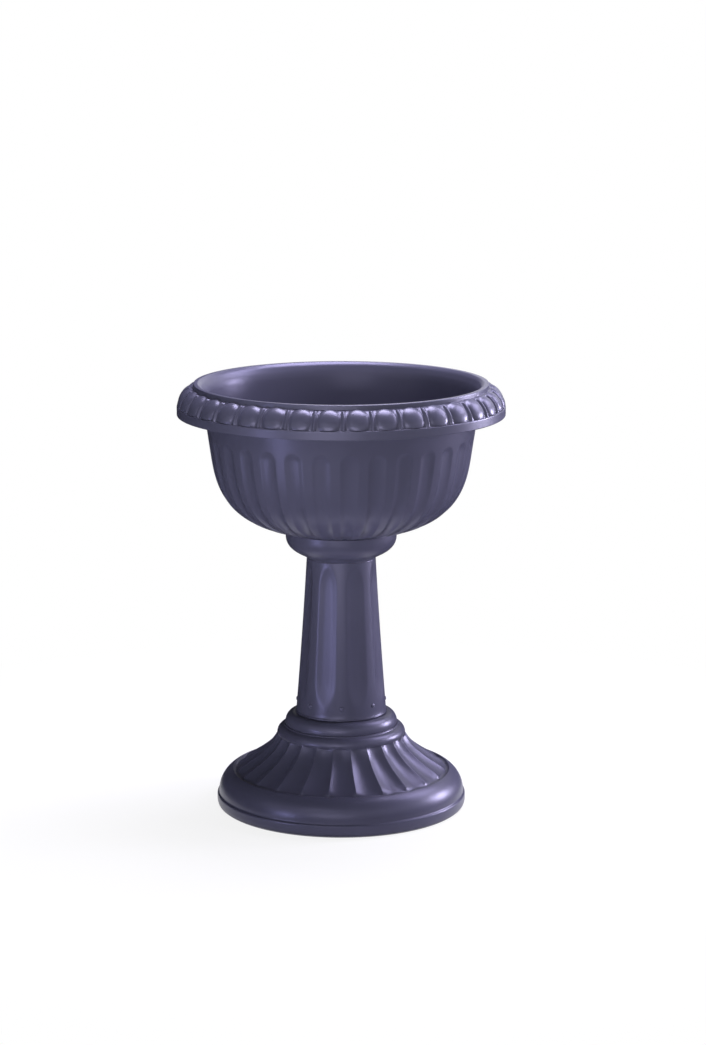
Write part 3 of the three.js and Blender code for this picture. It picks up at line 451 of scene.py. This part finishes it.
# Up the cup and over its edge, down its inside, and then the web that the screws go through.
outline = [[37.6, 295.8], [39.4, 295.8]] + [list(bezier(cup, s)[0]) for s in np.linspace(0, 1, 32)]
outline += rounded([[64.3, 321.5, 0], [64.3, 327.5, 0.4], [61.5, 327.5, 0.4], [61.5, 318.0, 0]], 3, 0.1)[1:]
for s in np.linspace(0.75, 0.5, 8):
    spot, way = bezier(cup, s)
    outline.append([spot[0] - way[1] * COLLAR_WALL, spot[1] + way[0] * COLLAR_WALL])
outline += rounded([[45.0, 304.8, 0], [39.9, 303.8, 1.5], [39.9, 327.5, 0.4], [22.0, 327.5, 0.3],
                    [22.0, 324.5, 0.3], [37.1, 324.5, 0.4], [37.1, 296.4, 0]], 3)
collar = skin("collar_ring", [(even(128), outline)])
patterned(collar, (fluting, {"Depth": 0.0, "Plastic": plastic}))
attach(collar, "urn")
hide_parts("collar")

# ---- The bowl ----
# One shell of the same polypropylene: a round belly and a leaning wall with 30 sunk flutes, and a
# rolled rim, hollow underneath, whose band of 36 eggs is parted by thin darts, over a plain skirt.
EGGS, DART_TURN = 36, 0.8  # the first dart's place; the eggs stand half a pitch from the darts
BOWL_FLUTES, BOWL_TURN = 30, 3.5
FLUTE_TOP = 441.0
BELLY = 423.9  # height at which the leaning wall turns into the round belly
BELLY_RADIUS, BELLY_DROP = 151.1, 99.9
INNER_RADIUS, INNER_DROP = 147.5, 96.3
WALL_LEAN = 0.143  # mm outwards for each mm up
RIM_CENTRE = (159.6, 470.0)
GROUND = 26.6  # radius of the rim's roll, on which the eggs stand

egg_band, given = pattern_tree(
    "Raise eggs and darts",
    [("Eggs", FLOAT, float(EGGS)), ("Dart turn", FLOAT, DART_TURN), ("Egg gap", FLOAT, 1.25),
     ("Dart half width", FLOAT, 0.75), ("Shoulder", FLOAT, 0.5), ("Egg height", FLOAT, 0.003),
     ("Dart height", FLOAT, 0.002), ("Plastic", MATERIAL, None)],
)
turned = add(egg_band, ATTRIBUTE, {"Name": "angle"}, data_type="FLOAT").outputs[0]
share_up = add(egg_band, ATTRIBUTE, {"Name": "along"}, data_type="FLOAT").outputs[0]
outwards = add(egg_band, ATTRIBUTE, {"Name": "rise"}, data_type="FLOAT_VECTOR").outputs[0]
# How far round a point lies from the nearest dart, in degrees, and from the nearest egg's middle, in
# half widths of the egg.
pitch = add(egg_band, MATH, {0: 360.0, 1: given["Eggs"]}, operation="DIVIDE").outputs[0]
half = add(egg_band, MATH, {0: pitch, 1: 0.5}, operation="MULTIPLY").outputs[0]
below = add(egg_band, MATH, {0: half, 1: -1.0}, operation="MULTIPLY").outputs[0]
turned = add(egg_band, MATH, {0: turned, 1: given["Dart turn"]}, operation="SUBTRACT").outputs[0]
from_dart = add(egg_band, MATH, {0: turned, 1: half, 2: below}, operation="WRAP").outputs[0]
from_dart = add(egg_band, MATH, {0: from_dart}, operation="ABSOLUTE").outputs[0]
wide = add(egg_band, MATH, {0: half, 1: given["Egg gap"]}, operation="SUBTRACT").outputs[0]
across = add(egg_band, MATH, {0: half, 1: from_dart}, operation="SUBTRACT").outputs[0]
across = add(egg_band, MATH, {0: across, 1: wide}, operation="DIVIDE").outputs[0]
# How far it lies up the egg's round shoulder or down its flatter heel, and so how far from its middle.
shoulder = add(egg_band, "ShaderNodeMapRange", {
    "Value": share_up, "From Min": given["Shoulder"], "From Max": 1.02}).outputs[0]
heel = add(egg_band, "ShaderNodeMapRange", {
    "Value": share_up, "From Min": 0.3, "From Max": 0.0, "To Max": 0.62}).outputs[0]
ends = add(egg_band, MATH, {0: shoulder, 1: heel}, operation="MAXIMUM").outputs[0]
reach = add(egg_band, "ShaderNodeCombineXYZ", {"X": across, "Y": ends}).outputs[0]
reach = add(egg_band, VECTOR_MATH, {0: reach}, operation="LENGTH").outputs["Value"]
reach = add(egg_band, MATH, {0: reach, 1: REACH}, operation="DIVIDE", use_clamp=True).outputs[0]
egg = drawn(
    add(egg_band, "ShaderNodeFloatCurve", {"Value": reach}),
    [(0, 1), (0.3, 0.955), (0.55, 0.84), (0.75, 0.65), (0.88, 0.43), (0.95, 0.24), (1.0, 0.07), (1.05, 0),
     (REACH, 0)], REACH,
)
egg = add(egg_band, MATH, {0: egg, 1: given["Egg height"]}, operation="MULTIPLY").outputs[0]
# A dart is a thin round bar that fades out under the lip.
bar = add(egg_band, MATH, {0: from_dart, 1: given["Dart half width"]}, operation="DIVIDE", use_clamp=True)
bar = drawn(
    add(egg_band, "ShaderNodeFloatCurve", {"Value": bar.outputs[0]}),
    [(0, 1), (0.35, 0.92), (0.65, 0.6), (0.88, 0.15), (1, 0)],
)
top = add(egg_band, "ShaderNodeMapRange", {"Value": share_up, "From Min": 0.95, "From Max": 0.8},
          interpolation_type="SMOOTHSTEP").outputs[0]
bar = add(egg_band, MATH, {0: bar, 1: top}, operation="MULTIPLY").outputs[0]
bar = add(egg_band, MATH, {0: bar, 1: given["Dart height"]}, operation="MULTIPLY").outputs[0]
raised = add(egg_band, MATH, {0: egg, 1: bar}, operation="MAXIMUM").outputs[0]
moved = add(egg_band, VECTOR_MATH, {0: outwards, "Scale": raised}, operation="SCALE").outputs[0]
shaped = add(egg_band, "GeometryNodeSetPosition", {"Geometry": given["Geometry"], "Offset": moved})
end_tree(egg_band, shaped.outputs[0], given["Plastic"])


def belly_point(t, half_width=BELLY_RADIUS, drop=BELLY_DROP):
    """Point on the belly's section, an oval filled out towards its corner, t degrees round from its
    side, and the way into its wall."""
    fullness, slope = 0.639, 2.13
    c, s = math.cos(math.radians(t)) ** fullness, math.sin(math.radians(t)) ** fullness
    turn = s**slope / max(c, 1e-4) ** slope * half_width / drop
    way = np.array([1, -turn - WALL_LEAN])
    way /= np.hypot(*way)
    return [half_width * c - WALL_LEAN * drop * s, BELLY - drop * s, -way[0], -way[1]]


# Up the outside: the foot, then the belly and the wall, with flutes that get shallower towards the
# foot, and then the plain wall and the underside and skirt of the rolled rim.
fluted = [[60.0, 327.8], [63.6, 327.8], [64.0, 328.0]]
for t in np.linspace(68.4, 0, 34):
    r, z, in_r, in_z = belly_point(t)
    shallow = math.sqrt(r / BELLY_RADIUS)
    fluted.append([r, z, in_r * shallow, in_z * shallow])
fluted += [[BELLY_RADIUS + WALL_LEAN * (z - BELLY), z, -0.99, 0.14]
           for z in [425.5, 427.2] + list(np.arange(428.4, 443.2, 0.85))]
plain = [[BELLY_RADIUS + WALL_LEAN * (z - BELLY), z] for z in (444.5, 448, 456, 464, 470)]
plain += oval(RIM_CENTRE, (23.8, 23.8), 84, 6, 18)
plain += rounded([[184.9, 471.0, 0], [185.9, 463.8, 0.5], [188.7, 463.8, 0.7], [188.7, 474.4, 1.2],
                  [186.2, 474.4, 0]], 4)
# The band of eggs, from the ledge over the skirt to the lip, and then the lip and down the inside.
ledge, lip = math.degrees(math.asin(4.4 / GROUND)), math.degrees(math.acos(9.9 / GROUND))
shares = [0, 0.015, 0.04] + list(np.linspace(0.08, 0.46, 9)) + list(np.linspace(0.5, 0.9, 15))
shares += [0.93, 0.96, 0.985, 1.0]
band = []
for s in shares:
    tilt = math.radians(ledge + (lip - ledge) * s)
    way = [math.cos(tilt), math.sin(tilt)]
    band.append([RIM_CENTRE[0] + GROUND * way[0], RIM_CENTRE[1] + GROUND * way[1], 0, 0] + way + [s])
lips = rounded([[169.5, 494.9, 0], [169.5, 500.0, 1.3], [164.2, 500.0, 1.4], [160.4, 497.0, 2.0],
                [158.0, 492.0, 0]], 6)
inner = [[INNER_RADIUS + WALL_LEAN * (z - BELLY), z] for z in np.linspace(489, 428, 10)]
inner += [belly_point(t, INNER_RADIUS, INNER_DROP)[:2] for t in np.linspace(0, 67.5, 30)]
inner += rounded([[64.0, 332.1, 0], [58.0, 332.0, 1.0], [10.0, 332.0, 0.5], [10.0, 327.8, 0.5],
                  [16.0, 327.8, 0]], 3)
flute_columns = columns(
    BOWL_FLUTES, BOWL_TURN, [0, 0.065, 0.13, 0.1885, 0.234, 0.27, 0.296, 0.315, 0.3315, 0.348, 0.4, 0.5])
egg_columns = columns(
    EGGS, DART_TURN + 180 / EGGS, [0, 0.1, 0.2, 0.28, 0.33, 0.356, 0.375, 0.41, 0.432, 0.452, 0.476, 0.5])
bowl = skin("bowl_shell", [
    (flute_columns, fluted), (even(240), plain), (egg_columns, band), (even(240), lips + inner)])
patterned(
    bowl,
    (fluting, {"Flutes": float(BOWL_FLUTES), "Turn": BOWL_TURN, "Width share": 0.65, "Depth": 2.0 * MM,
               "High end": FLUTE_TOP * MM, "Plastic": plastic}),
    (egg_band, {"Egg height": 3.2 * MM, "Dart height": 2.2 * MM, "Plastic": plastic}),
)
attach(bowl, "urn")
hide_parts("bowl")

# ---- The bowl screws ----
# Four zinc-plated pan-head screws with a cross recess, driven from inside the bowl through its
# floor and the collar's web into the bosses of the column's head.

# Bright zinc plate on cold-headed steel: pale grey, with soft reflections and a faint bluish cloud
# about 1.4 mm fine.
zinc = bpy.data.materials.new("zinc_plated_steel")
tree = emptied(zinc)
where = add(tree, "ShaderNodeTexCoord").outputs["Object"]
cloud = add(tree, "ShaderNodeTexNoise", {"Vector": where, "Scale": 700.0, "Detail": 3.0}).outputs[0]
body = add(tree, "ShaderNodeMix", {"Factor": cloud, MIX_A: colour("#a9aeb3"), MIX_B: colour("#c9ccca")},
           data_type="RGBA").outputs[MIX_RESULT]
gloss = add(tree, "ShaderNodeMapRange", {"Value": cloud, "To Min": 0.25, "To Max": 0.42}).outputs[0]
relief = add(tree, "ShaderNodeBump", {"Height": cloud, "Strength": 0.1, "Distance": 0.0001}).outputs[0]
shader = add(tree, "ShaderNodeBsdfPrincipled", {
    "Base Color": body, "Roughness": gloss, "Normal": relief, "Metallic": 1.0}).outputs[0]
add(tree, "ShaderNodeOutputMaterial", {"Surface": shader})

SEAT = 332.3  # the bowl's floor under the screw heads
SCREW_LENGTH, HEAD_HEIGHT = 25.2, 2.8
shank = rounded([[0.6, SEAT - SCREW_LENGTH, 0], [2.0, SEAT - 22.2, 0.5], [2.0, SEAT, 0.2], [4.6, SEAT, 0.3],
                 [4.6, SEAT + 1.2, 0.5], [3.4, SEAT + 2.6, 1.0], [1.2, SEAT + HEAD_HEIGHT, 0]], 3, 0.1)
one_screw = skin("one_screw", [
    (np.zeros(1), [[0, SEAT - SCREW_LENGTH]]), (even(24), shank), (np.zeros(1), [[0, SEAT + HEAD_HEIGHT]])])
cross = new_object("cross_recess", bpy.data.meshes.new("cross_recess"))
shape = bmesh.new()
for wide, deep in ((1.9, 0.45), (0.45, 1.9)):
    made = bmesh.ops.create_cube(shape, size=1.0)["verts"]
    for vert in made:
        taper = 1.0 if vert.co.z > 0 else 0.55  # the recess narrows downwards
        vert.co = (vert.co.x * 2 * wide * taper * MM, vert.co.y * 2 * deep * taper * MM,
                   (SEAT + 2.3 + vert.co.z * 2.2) * MM)
shape.to_mesh(cross.data)
shape.free()
cut = one_screw.modifiers.new("recess", "BOOLEAN")
cut.operation, cut.object, cut.use_self = "DIFFERENCE", cross, True

screw_ring, given = pattern_tree(
    "Screws on a circle",
    [("Screw", "NodeSocketObject", None), ("Screws", "NodeSocketInt", 4),
     ("Circle radius", FLOAT, SCREW_CIRCLE * MM), ("Steel", MATERIAL, None)],
)
circle = add(screw_ring, "GeometryNodeMeshCircle", {
    "Vertices": given["Screws"], "Radius": given["Circle radius"]}).outputs[0]
circle = add(screw_ring, "GeometryNodeTransform", {
    "Geometry": circle, "Rotation": (0, 0, math.pi / 4)}).outputs[0]
model = add(screw_ring, "GeometryNodeObjectInfo", {"Object": given["Screw"]}).outputs["Geometry"]
# Each screw was driven until tight, so each recess has stopped at its own angle, within a full turn.
driven = add(screw_ring, "FunctionNodeRandomValue", {2: 0.0, 3: 6.28, "Seed": 7}, data_type="FLOAT")
driven = add(screw_ring, "ShaderNodeCombineXYZ", {"Z": driven.outputs[1]}).outputs[0]
driven = add(screw_ring, "FunctionNodeEulerToRotation", {0: driven}).outputs[0]
shaped = add(screw_ring, "GeometryNodeInstanceOnPoints", {
    "Points": circle, "Instance": model, "Rotation": driven}).outputs[0]
end_tree(screw_ring, shaped, given["Steel"])
screws = new_object("bowl_screws", bpy.data.meshes.new("bowl_screws"))
patterned(screws, (screw_ring, {"Screw": one_screw, "Steel": zinc}))
for spent in (one_screw, cross):
    bpy.data.objects.remove(spent)
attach(screws, "urn")
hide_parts("bowl_screw_1", "bowl_screw_2", "bowl_screw_3", "bowl_screw_4")

# ---- The drain plug ----
# A soft black rubber stopper, moulded in one with its pull tab. It is pushed into the drain hole from
# inside the bowl, where its flange seals on the floor.

# Moulded rubber: nearly black and dull, with a faint grey bloom some 8 mm across. Its pores are drawn
# 0.7 mm coarse, because the real ones are too fine to show.
rubber = bpy.data.materials.new("moulded_rubber")
tree = emptied(rubber)
where = add(tree, "ShaderNodeTexCoord").outputs["Object"]
bloom = add(tree, "ShaderNodeTexNoise", {"Vector": where, "Scale": 120.0, "Detail": 4.0}).outputs[0]
body = add(tree, "ShaderNodeMix", {"Factor": bloom, MIX_A: colour("#232326"), MIX_B: colour("#39393d")},
           data_type="RGBA").outputs[MIX_RESULT]
gloss = add(tree, "ShaderNodeMapRange", {"Value": bloom, "To Min": 0.6, "To Max": 0.8}).outputs[0]
pores = add(tree, "ShaderNodeTexNoise", {"Vector": where, "Scale": 1500.0, "Detail": 1.0}).outputs[0]
relief = add(tree, "ShaderNodeBump", {"Height": pores, "Strength": 0.2, "Distance": 0.0001}).outputs[0]
shader = add(tree, "ShaderNodeBsdfPrincipled", {
    "Base Color": body, "Roughness": gloss, "Normal": relief}).outputs[0]
add(tree, "ShaderNodeOutputMaterial", {"Surface": shader})

PLUG_FOOT, PLUG_TOP = 323.8, 334.9
TAB_THICKNESS = 3
stopper = rounded([[7.0, PLUG_FOOT, 0], [8.2, PLUG_FOOT, 0.5], [9.5, 329.1, 0.5], [9.5, 332.3, 0.2],
                   [14.0, 332.3, 0.3], [14.0, PLUG_TOP, 1.0], [5.0, PLUG_TOP, 0]], 4, 0.2)
plug = skin("drain_stopper", [
    (np.zeros(1), [[0, PLUG_FOOT]]), (even(48), stopper), (np.zeros(1), [[0, PLUG_TOP]])])
# The pull tab: a flat half oval, its edges rounded all round.
shape = bmesh.new()
outline = [(-7.5, 334.1), (7.5, 334.1)] + oval((0, 338.7), (7.5, 6.2), 0, 180, 20)
front = [shape.verts.new((x * MM, -TAB_THICKNESS / 2 * MM, z * MM)) for x, z in outline]
face = shape.faces.new(front)
back = bmesh.ops.extrude_face_region(shape, geom=[face])["geom"]
back = [v for v in back if isinstance(v, bmesh.types.BMVert)]
bmesh.ops.translate(shape, verts=back, vec=(0, TAB_THICKNESS * MM, 0))
bmesh.ops.recalc_face_normals(shape, faces=shape.faces)
rim_edges = [e for e in shape.edges if abs(e.verts[0].co.y - e.verts[1].co.y) < 1e-6]
bmesh.ops.bevel(shape, geom=rim_edges, offset=0.7 * MM, segments=3, affect="EDGES", profile=0.5)
tab = bpy.data.meshes.new("pull_tab")
shape.to_mesh(tab)
shape.clear()
shape.from_mesh(plug.data)
shape.from_mesh(tab)
shape.to_mesh(plug.data)
shape.free()
plug.data.materials.append(rubber)
smoothed(plug.data)
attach(plug, "plug")
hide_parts("drain_plug")

# ---- The studio ----
# A plain pale floor in a white room, six soft lamps, black flags that the camera doesn't see, and a
# camera a little above the rim, as the photograph was taken.
camera = new_object("camera", bpy.data.cameras.new("camera"))
camera.location = (0, -3.293, 1.001)
camera.rotation_euler = (math.radians(90 - 11.42), 0, 0)
camera.data.lens = 100.0
camera.data.sensor_fit = "VERTICAL"
camera.data.sensor_height = 36.0
camera.data.shift_x = 0.0113
camera.data.clip_end = 200
bpy.context.scene.camera = camera
AIM = np.array([0, 0, 0.3])  # a little above the urn's middle, where the lamps point


def softbox(name, azimuth, elevation, distance, size, power, tint):
    """An area lamp aimed at the urn: azimuth in degrees from the front to the right, distance and size
    in metres, power in watts."""
    lamp = new_object(name, bpy.data.lights.new(name, "AREA"))
    a, e = math.radians(azimuth), math.radians(elevation)
    back = np.array([math.sin(a) * math.cos(e), -math.cos(a) * math.cos(e), math.sin(e)])
    lamp.location = back * distance + AIM
    lamp.rotation_euler = (math.pi / 2 - e, 0, a)
    lamp.data.shape, lamp.data.size, lamp.data.size_y = "RECTANGLE", size[0], size[1]
    lamp.data.energy = power
    lamp.data.color = colour(tint)[:3]


softbox("key", 108, 8, 1.7, (0.45, 0.45), 32, "#ebe6ff")
softbox("high_right", 112, 40, 1.6, (0.8, 0.7), 19, "#e8e3ff")
softbox("low_left", -50, -8, 1.2, (0.25, 0.22), 3.0, "#d9dcff")
softbox("overhead", 150, 77, 1.3, (0.9, 0.7), 38, "#eeeaff")
softbox("front", -10, 5, 2.6, (1.6, 0.5), 32, "#ffffff")
softbox("front_high", -25, 42, 2.2, (1.2, 1.0), 9, "#ffffff")

# Black flags round the urn, and a ring on the floor, keep the white room out of the plastic's sheen.
FLAG_RADIUS, FLAG_STEPS, RING_STEPS = 1.3, 12, 36
black = bpy.data.materials.new("black_flag")
tree = emptied(black)
matt = add(tree, "ShaderNodeBsdfDiffuse", {"Color": (0.01, 0.01, 0.01, 1)}).outputs[0]
add(tree, "ShaderNodeOutputMaterial", {"Surface": matt})


def black_sheet(name, points, faces):
    """A black sheet that the camera doesn't see."""
    sheet = bpy.data.meshes.new(name)
    sheet.from_pydata(points, [], faces)
    sheet.materials.append(black)
    sheet = new_object(name, sheet)
    sheet.visible_camera = False
    return sheet


for name, first, last, top in (
    ("flag_front", -75, 95, 0.3), ("flag_key", 95, 120, 0.2), ("flag_back", 120, 185, 0.55),
    ("flag_left", 185, 285, 1.3),
):
    turns = np.radians(np.linspace(first, last, FLAG_STEPS + 1))
    foot = [(math.sin(a) * FLAG_RADIUS, -math.cos(a) * FLAG_RADIUS, 0.001) for a in turns]
    head = [(x, y, top) for x, y, _ in foot]
    above = FLAG_STEPS + 1
    flag = black_sheet(name, foot + head, [(k, k + 1, k + 1 + above, k + above) for k in range(FLAG_STEPS)])
ring = [(math.sin(a) * r, -math.cos(a) * r, 0.002)
        for r in (0.25, FLAG_RADIUS) for a in np.radians(even(RING_STEPS))]
under = black_sheet("flag_floor", ring, [
    (k, (k + 1) % RING_STEPS, RING_STEPS + (k + 1) % RING_STEPS, RING_STEPS + k) for k in range(RING_STEPS)])
under.visible_diffuse = under.visible_shadow = False
ceiling = black_sheet(
    "flag_top", [(-1.9, -1.9, 1.7), (1.9, -1.9, 1.7), (1.9, 1.9, 1.7), (-1.9, 1.9, 1.7)], [(0, 1, 2, 3)])


def seen_white(tree):
    """1 for the camera's rays and for those that gloss and glass send on, and 0 for the light's."""
    ray = add(tree, "ShaderNodeLightPath").outputs
    seen = add(tree, MATH, {0: ray["Is Camera Ray"], 1: ray["Is Glossy Ray"]}, operation="MAXIMUM")
    seen = add(tree, MATH, {0: seen.outputs[0], 1: ray["Is Transmission Ray"]}, operation="MAXIMUM")
    return seen.outputs[0]


# The room is white to the eye and in reflections, and weaker as a light.
world = bpy.context.scene.world or bpy.data.worlds.new("studio")
bpy.context.scene.world = world
tree = emptied(world)
strength = add(tree, "ShaderNodeMapRange", {
    "Value": seen_white(tree), "To Min": 0.35, "To Max": 1.0}).outputs[0]
glow = add(tree, "ShaderNodeBackground", {"Color": (1, 1, 1, 1), "Strength": strength}).outputs[0]
add(tree, "ShaderNodeOutputWorld", {"Surface": glow})

floor_mesh = bpy.data.meshes.new("floor")
floor_mesh.from_pydata([(-60, -60, 0), (60, -60, 0), (60, 60, 0), (-60, 60, 0)], [], [(0, 1, 2, 3)])
floor = new_object("floor", floor_mesh)
paper = bpy.data.materials.new("white_paper")
tree = emptied(paper)
# The paper is white to the eye far away, and a little grey near the urn, where its shadow is.
where = add(tree, "ShaderNodeTexCoord").outputs["Object"]
away = add(tree, VECTOR_MATH, {0: where}, operation="LENGTH").outputs["Value"]
share = add(tree, "ShaderNodeMapRange", {
    "Value": away, "From Min": 0.2, "From Max": 0.8, "To Min": 0.85, "To Max": 1.0}).outputs[0]
seen = add(tree, MATH, {0: seen_white(tree), 1: share}, operation="MULTIPLY").outputs[0]
matt = add(tree, "ShaderNodeBsdfDiffuse", {"Color": colour("#f2f2f4")}).outputs[0]
lit = add(tree, "ShaderNodeEmission", {"Color": (1, 1, 1, 1), "Strength": 1.0}).outputs[0]
mixed = add(tree, "ShaderNodeMixShader", {0: seen, 1: matt, 2: lit}).outputs[0]
add(tree, "ShaderNodeOutputMaterial", {"Surface": mixed})
floor_mesh.materials.append(paper)

bpy.context.scene.view_settings.view_transform = "Standard"
bpy.context.view_layer.update()
